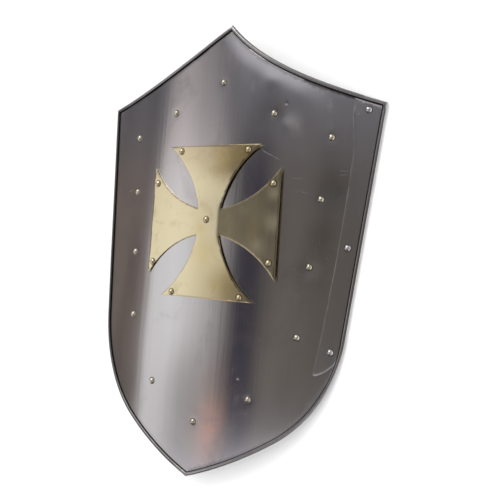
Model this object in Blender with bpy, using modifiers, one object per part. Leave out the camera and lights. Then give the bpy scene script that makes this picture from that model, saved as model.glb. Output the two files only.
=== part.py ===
"""Knight shield: a bent steel plate with a rolled edge, a riveted brass cross and a side strip.

Every sheet is first laid out flat, as a smith marks it: x runs across from the crest line, y runs
up from the middle of the height, and z is the height above the middle of the plate's thickness.
It is then bent round the long axis. Depths are measured down the sheet from the peak. Metres.
"""
from math import atan2, ceil, cos, pi, radians, sin

import bmesh
import bpy
from mathutils import Matrix, Vector

# Plate, measured along the flat sheet
HEIGHT = 0.660
HALF_WIDTH = 0.243
CORNER_DEPTH = 0.109
PEAK_SHIFT = 0.0065
TOE_SHIFT = -0.0050
LEFT_FLANK_HOLLOW = 0.0145
LEFT_FLANK_DEEPEST = 0.54
RIGHT_FLANK_HOLLOW = 0.0185
RIGHT_FLANK_DEEPEST = 0.425
WAIST_HALF_WIDTH = 0.2138
LEFT_WAIST_DEPTH = 0.4430
RIGHT_WAIST_DEPTH = 0.4390
HIP_RADIUS = 0.206
HIP_TURN = radians(50.0)
CURVE_RADIUS = 0.613
SHEET = 0.0012

# Rolled edge: angles round the roll, from its side next to the plate
ROLL_DIAMETER = 0.0070
ROLL_ENTRY = radians(30.0)
ROLL_MOUTH = radians(35.0)
ROLL_NECK = 0.0015

# Cross
CROSS_SHIFT = -0.0040
CROSS_DEPTH = 0.2882
CROSS_TURN = radians(1.4)
CROSS_REACH = 0.112
CROSS_END_HALF_WIDTH = 0.0805
CROSS_NECK_HALF_WIDTH = 0.0195
CROSS_SIDE_HOLLOW = 0.0105
CROSS_SHEET = 0.0010
CROSS_STANDOFF = 0.0012

# Side strip: widths from the plate's straight side to the strip's wavy inner edge
STRIP_SHEET = 0.0010
STRIP_TOP_WIDTH = 0.0445
STRIP_WIDEST = 0.0444
STRIP_WIDEST_DEPTH = 0.127
STRIP_WAIST = 0.0343
STRIP_WAIST_DEPTH = 0.182
STRIP_INNER_BOW = 0.0035
STRIP_FOOT_WIDTH = 0.0367
STRIP_FOOT_DEPTH = 0.490
STRIP_FOOT_BOW = 0.0028
STRIP_END_DEPTH = 0.469

# Rivets, the same all over
HEAD_DIAMETER = 0.0088
HEAD_HEIGHT = 0.0030
SHANK_DIAMETER = 0.0040
TAIL_DIAMETER = 0.0062
TAIL_FACE_DIAMETER = 0.0050
TAIL_HEIGHT = 0.0014

# Places of the field rivets
CROWN_RIVET_DEPTH = 0.0843
SHOULDER_RIVET_SHIFT = 0.0852
LEFT_SHOULDER_RIVET_DEPTH = 0.1263
RIGHT_SHOULDER_RIVET_DEPTH = 0.1298
SIDE_RIVET_DEPTHS = (0.161, 0.247, 0.341, 0.439)
LEFT_RIVET_INSET = 0.0710
RIGHT_RIVET_INSET = 0.0675
FOOT_RIVET_SHIFT = 0.0852
FOOT_RIVET_DEPTH = 0.5335
TOE_RIVET_DEPTH = 0.5794
LOW_RIVETS_OFF_CREST = -0.0017

# The clear flat on the inner face along the crest, from its top down to its foot
BACK_SEAT_DEPTHS = (0.400, 0.500)

# Places of the cross's rivets, punched by eye. The rows are the upper, left, lower and right arm:
# the inset from the arm's end, then the insets from its two sides
ARM_RIVET_INSETS = (
    (0.0078, 0.0212, 0.0223),
    (0.0084, 0.0236, 0.0175),
    (0.0059, 0.0207, 0.0213),
    (0.0113, 0.0258, 0.0238),
)
CENTRE_RIVET_SHIFT = -0.0041
CENTRE_RIVET_RISE = 0.0031

# Places of the strip's rivets: inset and depth of the upper two, then the last one's share of the
# way from the outer to the inner edge, and its height over the slanted foot
STRIP_RIVET_PLACES = ((0.0240, STRIP_WIDEST_DEPTH - 0.0060), (0.0196, 0.3106))
STRIP_LAST_RIVET_SHARE = 0.344
STRIP_LAST_RIVET_RISE = 0.0224

# Fits
SEAT_GAP = 0.0003
HOLE_GAP = 0.00035

# Steepest rest pose that is looked for
STEEPEST_TILT = radians(20.0)

# Fineness of the facets, and how near to a point of the outline a cut is taken through it
COLUMN_WIDTH = 0.027
CUT_SNAP = 0.0010
FLANK_STEPS = 6
SIDE_STEPS = 2
HIP_STEPS = 8
TOE_STEPS = 3
ARM_STEPS = 4
STRIP_STEPS = 4
ROLL_STEPS = 8
ROUND_STEPS = 10
DOME_STEPS = 3

SHARP_EDGE = radians(45.0)

# Colour and roughness of the metals
STEEL = ((0.56, 0.54, 0.53), 0.24)
STRIP_STEEL = ((0.60, 0.59, 0.57), 0.28)
BRASS = ((0.74, 0.62, 0.36), 0.22)

LEFT = -1
RIGHT = 1


def clear_scene():
    """Removes whatever objects the scene holds."""
    for item in list(bpy.data.objects):
        bpy.data.objects.remove(item)


def make_collection(name):
    """A new collection in the scene."""
    collection = bpy.data.collections.new(name)
    bpy.context.scene.collection.children.link(collection)
    return collection


def make_metal(name, colour, roughness):
    """The material of a bare metal."""
    material = bpy.data.materials.new(name)
    material.use_nodes = True
    shader = material.node_tree.nodes["Principled BSDF"]
    shader.inputs["Base Color"].default_value = (*colour, 1.0)
    shader.inputs["Metallic"].default_value = 1.0
    shader.inputs["Roughness"].default_value = roughness
    return material


def on_sheet(shift, depth):
    """A point of the flat sheet, given across from the crest line and down from the peak."""
    return Vector((shift, HEIGHT / 2 - depth, 0.0))


def bend(point):
    """Bends a point of the flat sheet round the long axis; its z stays square to the sheet."""
    angle = point.x / CURVE_RADIUS
    reach = CURVE_RADIUS + point.z
    return Vector((reach * sin(angle), point.y, reach * cos(angle) - CURVE_RADIUS))


def arc(start, end, bow, steps):
    """Points of the arc from start up to end, end left out, bowed to the left of its way."""
    chord = end - start
    if abs(bow) < 1e-9:
        return [start + chord * step / steps for step in range(steps)]
    left = Vector((-chord.y, chord.x, 0.0)).normalized()
    half_turn = 2 * atan2(2 * bow, chord.length)
    radius = chord.length / (2 * sin(half_turn))
    points = []
    for step in range(steps):
        angle = half_turn * (1 - 2 * step / steps)
        along = (1 - sin(angle) / sin(half_turn)) / 2
        points.append(start + chord * along + left * radius * (cos(angle) - cos(half_turn)))
    return points


def tangent_arc(start, way, end, steps):
    """Points of the arc that leaves start in the direction way and reaches end, end left out."""
    chord = end - start
    turn = atan2(way.x * chord.y - way.y * chord.x, way.dot(chord))
    return arc(start, end, -chord.length / 2 * sin(turn) / (1 + cos(turn)), steps)


def flank(peak, corner, hollow, deepest):
    """Points from the peak up to a corner, sagging most at a share of the way."""
    chord = corner - peak
    down = Vector((chord.y, -chord.x, 0.0)).normalized()
    if down.y > 0:
        down = -down
    pull = peak + chord * (2 * deepest - 0.5) + down * 2 * hollow
    points = []
    for step in range(FLANK_STEPS):
        share = step / FLANK_STEPS
        points.append(peak.lerp(pull, share).lerp(pull.lerp(corner, share), share))
    return points


def half_outline(side, flank_hollow, flank_deepest, waist_depth):
    """The plate's outline down one side, from the peak up to the toe, the toe left out."""
    peak = on_sheet(PEAK_SHIFT, 0.0)
    toe = on_sheet(TOE_SHIFT, HEIGHT)
    corner = on_sheet(side * HALF_WIDTH, CORNER_DEPTH)
    waist = on_sheet(side * WAIST_HALF_WIDTH, waist_depth)
    way = (waist - corner).normalized()
    centre = waist + side * HIP_RADIUS * Vector((way.y, -way.x, 0.0))
    turned = Matrix.Rotation(-side * HIP_TURN, 3, "Z")
    hip_end = centre + turned @ (waist - centre)
    points = flank(peak, corner, flank_hollow, flank_deepest)
    points += arc(corner, waist, 0.0, SIDE_STEPS)
    points += tangent_arc(waist, way, hip_end, HIP_STEPS)
    points += tangent_arc(hip_end, turned @ way, toe, TOE_STEPS)
    return points


def plate_outline():
    """The plate's whole outline, counter-clockwise from the peak."""
    left = half_outline(LEFT, LEFT_FLANK_HOLLOW, LEFT_FLANK_DEEPEST, LEFT_WAIST_DEPTH)
    right = half_outline(RIGHT, RIGHT_FLANK_HOLLOW, RIGHT_FLANK_DEEPEST, RIGHT_WAIST_DEPTH)
    return left + [on_sheet(TOE_SHIFT, HEIGHT)] + right[:0:-1]


def mitres(points):
    """For each point of a counter-clockwise outline, the step inwards that insets it by one."""
    steps = []
    for index, here in enumerate(points):
        first = (here - points[index - 1]).normalized()
        second = (points[(index + 1) % len(points)] - here).normalized()
        both = Vector((-first.y - second.y, first.x + second.x, 0.0))
        steps.append(both / (1 + first.dot(second)))
    return steps


def inset(points, distance):
    """The outline moved inwards by a distance, its corners kept sharp."""
    return [point + step * distance for point, step in zip(points, mitres(points))]


def in_from_side(distance, depth, side=RIGHT):
    """The point at a depth that lies in from a straight side, or from its run downwards."""
    waist_depth = RIGHT_WAIST_DEPTH if side == RIGHT else LEFT_WAIST_DEPTH
    share = (depth - CORNER_DEPTH) / (waist_depth - CORNER_DEPTH)
    width = HALF_WIDTH + (WAIST_HALF_WIDTH - HALF_WIDTH) * share
    return on_sheet(side * (width - distance), depth)


def cut_across(mesh, place, way):
    """Cuts a flat sheet along the line through a place, square to a direction."""
    everything = mesh.verts[:] + mesh.edges[:] + mesh.faces[:]
    bmesh.ops.bisect_plane(mesh, geom=everything, dist=CUT_SNAP, plane_co=place, plane_no=way)


def flat_sheet(points):
    """A flat face inside the outline, cut into columns narrow enough to bend."""
    mesh = bmesh.new()
    face = mesh.faces.new([mesh.verts.new(point) for point in points])
    face.normal_update()
    if face.normal.z < 0:
        face.normal_flip()
    first = ceil(min(point.x for point in points) / COLUMN_WIDTH - 0.5)
    last = ceil(max(point.x for point in points) / COLUMN_WIDTH - 0.5)
    for column in range(first, last):
        cut_across(mesh, Vector(((column + 0.5) * COLUMN_WIDTH, 0.0, 0.0)), Vector((1.0, 0.0, 0.0)))
    return mesh


def open_edges(mesh):
    """The edges round the open rim of a sheet."""
    return [edge for edge in mesh.edges if edge.is_boundary]


def rim(mesh):
    """The vertices round the open rim in order, the sheet on their left."""
    edge = open_edges(mesh)[0]
    vert = edge.link_loops[0].vert
    found = []
    while vert not in found:
        found.append(vert)
        vert = edge.other_vert(vert)
        edge = next(other for other in vert.link_edges if other.is_boundary and other != edge)
    return found


def bent_object(name, mesh, height, thickness, material, parts, root):
    """Bends a flat sheet at a height over the plate and gives it its thickness."""
    for vert in mesh.verts:
        vert.co.z += height
        vert.co = bend(vert.co)
    bmesh.ops.triangulate(mesh, faces=mesh.faces[:])
    data = bpy.data.meshes.new(name)
    mesh.to_mesh(data)
    mesh.free()
    data.materials.append(material)
    data.shade_smooth()
    data.set_sharp_from_angle(angle=SHARP_EDGE)
    item = bpy.data.objects.new(name, data)
    parts.objects.link(item)
    item.parent = root
    solidify = item.modifiers.new("thickness", "SOLIDIFY")
    solidify.thickness = thickness
    solidify.offset = 0.0
    solidify.use_even_offset = True
    return item


def drill(item, holes):
    """Cuts the rivet holes out of a sheet."""
    boolean = item.modifiers.new("rivet holes", "BOOLEAN")
    boolean.operation = "DIFFERENCE"
    boolean.solver = "EXACT"
    boolean.operand_type = "COLLECTION"
    boolean.collection = holes


def roll_profile():
    """Inset and height of each ring of the rolled edge, under, round the outside and over."""
    centre = ROLL_DIAMETER / 2
    radius = (ROLL_DIAMETER - SHEET) / 2
    turn = 2 * pi - ROLL_ENTRY - ROLL_MOUTH
    rings = []
    for step in range(ROLL_STEPS + 1):
        angle = ROLL_ENTRY + turn * step / ROLL_STEPS
        rings.append((centre + radius * cos(angle), -radius * sin(angle)))
    return rings


def make_plate(material, parts, root):
    """The steel plate, its edge rolled forwards into a bead that lies level with the sheet."""
    rings = roll_profile()
    flat_inset = rings[0][0] + ROLL_NECK
    mesh = flat_sheet(inset(plate_outline(), flat_inset))
    for depth in BACK_SEAT_DEPTHS:
        cut_across(mesh, on_sheet(0.0, depth), Vector((0.0, 1.0, 0.0)))
    edge_place = mesh.verts.layers.float_vector.new("edge_place")
    edge_mitre = mesh.verts.layers.float_vector.new("edge_mitre")
    edge = rim(mesh)
    for vert, mitre in zip(edge, mitres([vert.co for vert in edge])):
        vert[edge_place] = vert.co
        vert[edge_mitre] = mitre
    for ring_inset, ring_height in rings:
        bmesh.ops.extrude_edge_only(mesh, edges=open_edges(mesh))
        for vert in {vert for edge in open_edges(mesh) for vert in edge.verts}:
            vert.co = vert[edge_place] + vert[edge_mitre] * (ring_inset - flat_inset)
            vert.co.z = ring_height
    mesh.verts.layers.float_vector.remove(mesh.verts.layers.float_vector["edge_mitre"])
    mesh.verts.layers.float_vector.remove(mesh.verts.layers.float_vector["edge_place"])
    return bent_object("plate", mesh, 0.0, SHEET, material, parts, root)


def cross_place(x, y):
    """A point of the cross, given from its centre along its own arms, on the plate's sheet."""
    turned = Matrix.Rotation(CROSS_TURN, 3, "Z") @ Vector((x, y, 0.0))
    return on_sheet(CROSS_SHIFT, CROSS_DEPTH) + turned


def quarter_turns(x, y):
    """A point of the cross and its three fellows on the other arms."""
    return [cross_place(*pair) for pair in ((x, y), (-y, x), (-x, -y), (y, -x))]


def make_cross(material, parts, root):
    """The brass cross: four arms that widen between hollow sides to straight ends."""
    first_tips = quarter_turns(CROSS_END_HALF_WIDTH, CROSS_REACH)
    last_tips = quarter_turns(-CROSS_END_HALF_WIDTH, CROSS_REACH)
    necks = quarter_turns(-CROSS_NECK_HALF_WIDTH, CROSS_NECK_HALF_WIDTH)
    points = []
    for arm in range(4):
        points.append(first_tips[arm])
        points += arc(last_tips[arm], necks[arm], CROSS_SIDE_HOLLOW, ARM_STEPS)
        points += arc(necks[arm], first_tips[arm - 3], CROSS_SIDE_HOLLOW, ARM_STEPS)
    height = SHEET / 2 + CROSS_STANDOFF + CROSS_SHEET / 2
    return bent_object("cross", flat_sheet(points), height, CROSS_SHEET, material, parts, root)


def passing(points, measure, value):
    """The first place along the points where the measure rises past the value."""
    for here, after in zip(points, points[1:]):
        low, high = measure(here), measure(after)
        if low <= value < high:
            return here.lerp(after, (value - low) / (high - low))


def strip_bed():
    """The line just inside the roll that the strip follows, from the peak down the right side."""
    outline = inset(plate_outline(), ROLL_DIAMETER + SEAT_GAP)
    return [outline[0]] + outline[:0:-1]


def at_depth(points, depth):
    """The place along the points that lies at a depth."""
    return passing(points, lambda point: HEIGHT / 2 - point.y, depth)


def strip_foot(bed):
    """The outer and the inner end of the strip's slanted foot."""
    return at_depth(bed, STRIP_END_DEPTH), in_from_side(STRIP_FOOT_WIDTH, STRIP_FOOT_DEPTH)


def make_strip(material, parts, root):
    """The side strip, fitted to the roll along its top and outer edges."""
    bed = strip_bed()
    top = passing(bed, lambda point: point.x, HALF_WIDTH - STRIP_TOP_WIDTH)
    end, foot = strip_foot(bed)
    waist = in_from_side(STRIP_WAIST, STRIP_WAIST_DEPTH)
    points = [top]
    points += [point for point in bed if point.x > top.x and point.y > end.y]
    points += arc(end, foot, STRIP_FOOT_BOW, STRIP_STEPS)
    points += arc(foot, waist, -STRIP_INNER_BOW, STRIP_STEPS)
    points += [waist, in_from_side(STRIP_WIDEST, STRIP_WIDEST_DEPTH)]
    height = SHEET / 2 + SEAT_GAP + STRIP_SHEET / 2
    return bent_object("side_strip", flat_sheet(points), height, STRIP_SHEET, material, parts, root)


def place_on_plate(name, data, point, collection, root):
    """An object that stands square on the plate at a point of the flat sheet."""
    item = bpy.data.objects.new(name, data)
    collection.objects.link(item)
    item.parent = root
    item.location = bend(point)
    item.rotation_euler = (0.0, point.x / CURVE_RADIUS, 0.0)
    return item


def rivet_profile(name, seat, material):
    """Half the section of a rivet whose head sits at a height and whose tail is hammered flat."""
    base = seat + SEAT_GAP
    tail = -SHEET / 2 - SEAT_GAP
    head_radius = HEAD_DIAMETER / 2
    dome_radius = (head_radius ** 2 + HEAD_HEIGHT ** 2) / (2 * HEAD_HEIGHT)
    dome_turn = 2 * atan2(HEAD_HEIGHT, head_radius)
    section = []
    for step in range(DOME_STEPS + 1):
        angle = dome_turn * step / DOME_STEPS
        drop = dome_radius * (1 - cos(angle))
        section.append((dome_radius * sin(angle), base + HEAD_HEIGHT - drop))
    section.append((SHANK_DIAMETER / 2, base))
    section.append((SHANK_DIAMETER / 2, tail))
    section.append((TAIL_DIAMETER / 2, tail))
    section.append((TAIL_FACE_DIAMETER / 2, tail - TAIL_HEIGHT))
    section.append((0.0, tail - TAIL_HEIGHT))
    data = bpy.data.meshes.new(name)
    edges = [(index, index + 1) for index in range(len(section) - 1)]
    data.from_pydata([(x, 0.0, z) for x, z in section], edges, [])
    data.materials.append(material)
    return data


def turn_round(item):
    """Turns the section of a round piece into a solid."""
    screw = item.modifiers.new("turned", "SCREW")
    screw.steps = ROUND_STEPS
    screw.render_steps = ROUND_STEPS
    screw.use_merge_vertices = True
    screw.merge_threshold = 0.00001
    screw.use_smooth_shade = True


def hole_cutter():
    """A rod as wide as a rivet hole, long enough to pass through every sheet."""
    data = bpy.data.meshes.new("rivet_hole")
    mesh = bmesh.new()
    radius = SHANK_DIAMETER / 2 + HOLE_GAP
    length = 4 * (SHEET + CROSS_STANDOFF + CROSS_SHEET + STRIP_SHEET)
    bmesh.ops.create_cone(
        mesh, cap_ends=True, segments=ROUND_STEPS, radius1=radius, radius2=radius, depth=length
    )
    mesh.to_mesh(data)
    mesh.free()
    return data


def make_rivets(kind, points, seat, material, parts, holes, root):
    """A rivet at each point, and the cutter of its hole."""
    profile = rivet_profile(f"{kind}_rivet", seat, material)
    cutter = hole_cutter()
    for number, point in enumerate(points, start=1):
        rivet = place_on_plate(f"{kind}_rivet_{number:02d}", profile, point, parts, root)
        turn_round(rivet)
        hole = place_on_plate(f"{kind}_hole_{number:02d}", cutter, point, holes, root)
        hole.hide_render = True
        hole.display_type = "WIRE"


def field_rivet_points():
    """One under the peak, two shoulders, the two side rows, two on the lower curve, one at the toe."""
    points = [on_sheet(0.0, CROWN_RIVET_DEPTH)]
    points.append(on_sheet(-SHOULDER_RIVET_SHIFT, LEFT_SHOULDER_RIVET_DEPTH))
    points.append(on_sheet(SHOULDER_RIVET_SHIFT, RIGHT_SHOULDER_RIVET_DEPTH))
    points += [in_from_side(LEFT_RIVET_INSET, depth, LEFT) for depth in SIDE_RIVET_DEPTHS]
    points += [in_from_side(RIGHT_RIVET_INSET, depth) for depth in SIDE_RIVET_DEPTHS]
    for side in (LEFT, RIGHT):
        shift = side * FOOT_RIVET_SHIFT + LOW_RIVETS_OFF_CREST
        points.append(on_sheet(shift, FOOT_RIVET_DEPTH))
    points.append(on_sheet(LOW_RIVETS_OFF_CREST, TOE_RIVET_DEPTH))
    return points


def cross_rivet_points():
    """One near the middle of the cross and two near the end of each arm."""
    points = [cross_place(CENTRE_RIVET_SHIFT, CENTRE_RIVET_RISE)]
    for arm, (end_inset, *side_insets) in enumerate(ARM_RIVET_INSETS):
        for side, side_inset in zip((RIGHT, LEFT), side_insets):
            aside = side * (CROSS_END_HALF_WIDTH - side_inset)
            points.append(quarter_turns(aside, CROSS_REACH - end_inset)[arm])
    return points


def strip_rivet_points():
    """The rivets down the side strip, the last one over its foot."""
    points = [in_from_side(*place) for place in STRIP_RIVET_PLACES]
    bed = strip_bed()
    end, foot = strip_foot(bed)
    depth = HEIGHT / 2 - end.lerp(foot, STRIP_LAST_RIVET_SHARE).y - STRIP_LAST_RIVET_RISE
    inner = in_from_side(STRIP_FOOT_WIDTH, depth)
    points.append(at_depth(bed, depth).lerp(inner, STRIP_LAST_RIVET_SHARE))
    return points


def settle(root, plate):
    """Lays the shield down on its rim: tilts it until its upper and lower ends both touch."""
    evaluated = plate.evaluated_get(bpy.context.evaluated_depsgraph_get())
    places = [vert.co.copy() for vert in evaluated.data.vertices]
    low, high = -STEEPEST_TILT, STEEPEST_TILT
    for _ in range(50):
        tilt = (low + high) / 2
        turned = [Matrix.Rotation(tilt, 3, "X") @ place for place in places]
        upper = min(new.z for old, new in zip(places, turned) if old.y > 0)
        lower = min(new.z for old, new in zip(places, turned) if old.y <= 0)
        if upper < lower:
            low = tilt
        else:
            high = tilt
    root.rotation_euler = (tilt, 0.0, 0.0)
    middles = []
    for axis in range(2):
        reach = [place[axis] for place in turned]
        middles.append((min(reach) + max(reach)) / 2)
    root.location = (-middles[0], -middles[1], -min(place.z for place in turned))


def main():
    """Builds the shield."""
    clear_scene()
    parts = make_collection("knight_shield")
    holes = make_collection("cutters")
    root = bpy.data.objects.new("shield", None)
    parts.objects.link(root)
    steel = make_metal("steel", *STEEL)
    strip_steel = make_metal("strip_steel", *STRIP_STEEL)
    brass = make_metal("brass", *BRASS)
    plate = make_plate(steel, parts, root)
    settle(root, plate)
    cross = make_cross(brass, parts, root)
    strip = make_strip(strip_steel, parts, root)
    cross_top = SHEET / 2 + CROSS_STANDOFF + CROSS_SHEET
    strip_top = SHEET / 2 + SEAT_GAP + STRIP_SHEET
    make_rivets("field", field_rivet_points(), SHEET / 2, brass, parts, holes, root)
    make_rivets("cross", cross_rivet_points(), cross_top, brass, parts, holes, root)
    make_rivets("strip", strip_rivet_points(), strip_top, strip_steel, parts, holes, root)
    for sheet in (plate, cross, strip):
        drill(sheet, holes)


main()
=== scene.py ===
import random
from math import atan2, cos, exp, hypot, pi, radians, sin

import bmesh
import bpy
import numpy as np
from mathutils import Matrix, Vector, noise
from mathutils.geometry import delaunay_2d_cdt


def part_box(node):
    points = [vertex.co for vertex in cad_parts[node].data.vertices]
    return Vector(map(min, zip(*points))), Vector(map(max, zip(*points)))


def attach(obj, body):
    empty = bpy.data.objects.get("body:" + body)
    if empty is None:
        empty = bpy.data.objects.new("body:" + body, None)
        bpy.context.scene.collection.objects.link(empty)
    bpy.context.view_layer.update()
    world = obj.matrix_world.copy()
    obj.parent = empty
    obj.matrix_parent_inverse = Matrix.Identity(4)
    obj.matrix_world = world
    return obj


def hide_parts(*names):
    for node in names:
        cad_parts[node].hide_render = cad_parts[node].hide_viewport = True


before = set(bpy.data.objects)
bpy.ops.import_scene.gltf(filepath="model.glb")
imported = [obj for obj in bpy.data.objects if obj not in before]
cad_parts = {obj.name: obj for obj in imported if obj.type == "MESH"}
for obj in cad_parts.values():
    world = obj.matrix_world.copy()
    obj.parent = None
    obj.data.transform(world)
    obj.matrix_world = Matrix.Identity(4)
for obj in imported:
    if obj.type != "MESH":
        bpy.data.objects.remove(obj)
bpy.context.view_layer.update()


# The plate. One sheet of hand-polished steel, cut with a peaked top and a pointed foot, bent to an
# even curve round its long axis. Its whole edge is rolled forwards into a hollow bead that is level
# with the sheet. Places are taken on the flat sheet: across from the crest, and down from the peak.
HEIGHT = 0.660
HALF_WIDTH = 0.243
CORNER_DEPTH = 0.109
PEAK_SHIFT = 0.0065
TOE_SHIFT = -0.0050
LEFT_FLANK = (0.0145, 0.54)
RIGHT_FLANK = (0.0185, 0.425)
WAIST_HALF_WIDTH = 0.2138
LEFT_WAIST_DEPTH = 0.4430
RIGHT_WAIST_DEPTH = 0.4390
HIP_RADIUS = 0.206
HIP_TURN = radians(50.0)
CORNER_CLEARANCE = 0.0100
CURVE_RADIUS = 0.613
SHEET = 0.0012

# How many points each stretch of the outline has
FLANK_STEPS = 66
SIDE_STEPS = 80
HIP_STEPS = 44
TOE_STEPS = 34

# The roll, by angles that start next to the plate, and the crease beside it
ROLL_DIAMETER = 0.0068
ROLL_ENTRY = radians(30.0)
ROLL_MOUTH = radians(38.0)
ROLL_NECK = 0.0015
ROLL_STEPS = 18
ROLL_UNEVENNESS = 0.05
ROLL_UNEVEN_SCALE = 22.0
CREASE_WIDTH = 0.0009

# How much painted shade darkens the roll against the floor's bright reflection in it, on its top and
# on its outer side, and between which angles that changes
ROLL_RIGHT_SHADE = (0.10, 0.30)
ROLL_LEFT_SHADE = (0.80, 0.92)
ROLL_FLANK_SHADE = (0.40, 0.85)
ROLL_OUTER_TO = radians(215.0)
ROLL_TOP_FROM = radians(262.0)
ROLL_SIDES_BLEND = 0.03
# How many steps of the roll by its mouth get painted shade, the slit's shadow
MOUTH_SHADE_STEPS = 2.5

# How much painted shade darkens the crease beside the roll, down each side, along the flanks, and by
# the right corner
RIGHT_CREASE_SHADE = 0.35
LEFT_CREASE_SHADE = 0.10
FLANK_CREASE_SHADE = 0.35
CORNER_CREASE_SHADE = 0.95
CORNER_SHADE_FROM = 0.125
CORNER_SHADE_DEPTH = CORNER_DEPTH + 0.01

# How finely a sheet is meshed, with rings of points round its holes. Clearances are in mesh steps.
PLATE_STEP = 0.0042
ROW_SHARE = 0.866
EDGE_CLEARANCE = 0.6
RING_CLEARANCE = 0.45
RING_EDGE_CLEARANCE = 0.3
HOLE_RADIUS = 0.00235
RIVET_RINGS = (0.0036, 0.0050, 0.0060, 0.0078, 0.0100)
RING_POINTS = 20
# A painted shadow ring round each rivet hole: how dark, and how far from the hole's centre it reaches
RIVET_PAINTED_SHADOW = 0.85
RIVET_SHADOW_REACH = 0.0053

# Slow waves left by the bending, the dimple that each rivet pulls, and knocks: place, rise, reach.
# The small ones are meshed in rings.
WAVE_RISE = 0.00022
WAVE_LENGTH = 0.085
WAVE_OFFSET = Vector((3.1, 7.7, 0.4))
DIMPLE = 0.00018
DIMPLE_REACH = 0.0062
KNOCKS = (
    (0.1023, 0.1154, -0.00028, 0.0016),
    (0.2052, 0.1221, -0.00020, 0.0012),
    (0.1841, 0.3571, -0.00022, 0.0013),
    (0.0650, 0.5084, -0.00022, 0.0013),
    (0.1120, 0.1420, 0.00035, 0.0120),
    (0.1558, 0.3440, -0.00090, 0.0150),
    (0.0950, 0.1370, -0.00045, 0.0220),
    (0.1800, 0.2330, -0.00040, 0.0200),
    (0.0786, 0.0817, 0.00030, 0.0120),
)
SMALL_KNOCK = 0.002
KNOCK_RINGS = (0.0008, 0.0016, 0.0026)

# The sheet falls off a little towards the right flank, where it was beaten over for the roll
FLANK_FALL = 1.25
FLANK_FALL_EDGE = 0.0085
FLANK_FALL_WIDTH = 0.034
FLANK_FALL_DEPTH = 0.16
FLANK_FALL_START = -0.05
FLANK_FALL_END = 0.165
FLANK_FALL_FADE = 0.05

# The scratches that show most: from one place to another, and how wide
LONG_SCRATCHES = (
    ((0.0719, 0.1820), (0.1032, 0.1951), 0.0008),
    ((0.0700, 0.1790), (0.0900, 0.1900), 0.0006),
    ((0.1860, 0.2125), (0.1990, 0.2095), 0.0010),
    ((0.1850, 0.2060), (0.2010, 0.2050), 0.0008),
    ((-0.1850, 0.2460), (-0.1700, 0.2415), 0.0009),
    ((0.1180, 0.2200), (0.1390, 0.2185), 0.0006),
    ((0.1230, 0.2350), (0.1520, 0.2405), 0.0006),
    ((0.1830, 0.3740), (0.1950, 0.3730), 0.0007),
)

# Hazy spots (above 0) and dull dark ones (below 0): place, reach, strength
CLOUDS = (
    (0.1030, 0.1390, 0.007, 0.90),
    (0.1100, 0.1430, 0.009, 1.20),
    (0.1180, 0.1490, 0.009, 0.90),
    (0.1250, 0.1560, 0.009, 0.50),
    (0.1230, 0.1400, 0.008, 0.50),
    (0.1050, 0.1280, 0.007, 0.50),
    (0.1280, 0.1789, 0.017, 0.35),
    (0.1668, 0.1374, 0.024, 0.40),
    (0.1545, 0.3516, 0.009, 0.90),
    (0.1500, 0.1050, 0.018, 0.40),
    (0.0700, 0.0830, 0.020, 0.35),
    (0.0100, 0.0300, 0.022, 0.35),
    (0.0874, 0.1324, 0.022, -0.45),
    (0.1816, 0.2326, 0.026, -1.10),
    (0.1662, 0.2955, 0.022, -1.10),
    (0.1600, 0.3300, 0.020, -0.75),
    (0.1900, 0.3700, 0.024, -0.25),
)

CROWN_RIVET = (0.0, 0.0843)
TOE_RIVET = (-0.0017, 0.5794)
FIELD_RIVETS = [CROWN_RIVET, (-0.0852, 0.1263), (0.0852, 0.1298)]
SIDE_RIVET_DEPTHS = (0.161, 0.247, 0.341, 0.439)
RIVET_INSETS = {-1: 0.0710, 1: 0.0675}

STEEL = (0.66, 0.645, 0.64, 1.0)
STEEL_STAINED = (0.50, 0.485, 0.47, 1.0)
# Painted shade: the near-black that the steel is darkened to where shade would fall
STEEL_PAINTED_SHADE = (0.06, 0.055, 0.05, 1.0)
STEEL_DULL = (0.34, 0.33, 0.32, 1.0)
STEEL_SCRATCHED = (0.84, 0.83, 0.82, 1.0)


def flat(shift, depth):
    """A point of the flat sheet, given across from the crest and down from the peak."""
    return Vector((shift, HEIGHT / 2 - depth))


def arc(start, end, bow, steps):
    """Points of the arc from start up to end, end left out, bowed to the left of its way."""
    chord = end - start
    if abs(bow) < 1e-9:
        return [start + chord * step / steps for step in range(steps)]
    left = Vector((-chord.y, chord.x)).normalized()
    half_turn = 2 * atan2(2 * bow, chord.length)
    radius = chord.length / (2 * sin(half_turn))
    points = []
    for step in range(steps):
        angle = half_turn * (1 - 2 * step / steps)
        along = (1 - sin(angle) / sin(half_turn)) / 2
        points.append(start + chord * along + left * radius * (cos(angle) - cos(half_turn)))
    return points


def tangent_arc(start, way, end, steps):
    """Points of the arc that leaves start in the direction way and reaches end, end left out."""
    chord = end - start
    turn = atan2(way.x * chord.y - way.y * chord.x, way.dot(chord))
    return arc(start, end, -chord.length / 2 * sin(turn) / (1 + cos(turn)), steps)


def flank(peak, corner, hollow, deepest, steps):
    """Points from the peak up to a corner, sagging most at a share of the way."""
    chord = corner - peak
    down = Vector((chord.y, -chord.x)).normalized()
    if down.y > 0:
        down = -down
    pull = peak + chord * (2 * deepest - 0.5) + down * 2 * hollow
    points = []
    for step in range(steps):
        share = step / steps
        points.append(peak.lerp(pull, share).lerp(pull.lerp(corner, share), share))
    return points


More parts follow.
